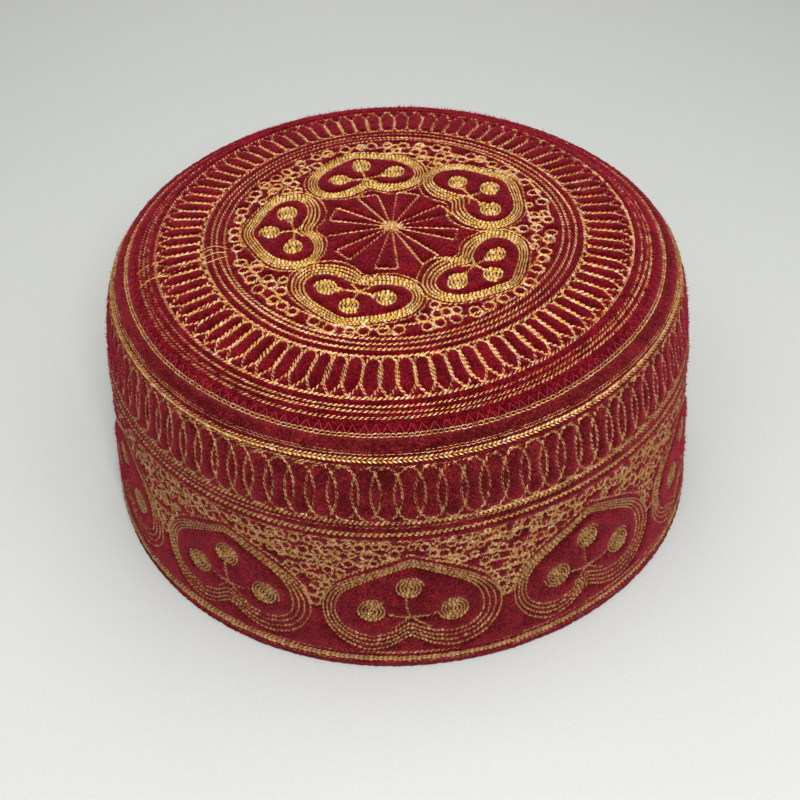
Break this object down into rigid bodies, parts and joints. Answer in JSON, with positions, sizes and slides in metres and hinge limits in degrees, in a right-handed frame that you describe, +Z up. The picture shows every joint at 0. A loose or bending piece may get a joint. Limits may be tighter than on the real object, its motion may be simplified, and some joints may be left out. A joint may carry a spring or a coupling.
{
  "type": "kufi",
  "caption": "Round pillbox kufi of dark red velvet: low domed crown and upright side band, embroidered in gold chain stitch, with gold braids and an open hollow for the head.",
  "frame": {"origin": "on the table, at the centre of the rim", "axes": "+Z up through the middle of the crown, -Y towards the front that the picture shows"},
  "size_m": [0.1848, 0.1833, 0.0873],
  "materials": {
    "velvet": "deep red cotton velvet, short dense pile",
    "gold_thread": "glossy gold embroidery thread in chain stitch"
  },
  "bodies": {
    "root": {"crown": "velvet", "shoulder_strip": "velvet", "side_band": "velvet", "shoulder_braid": "gold_thread", "hem_braid": "gold_thread"}
  },
  "joints": []
}
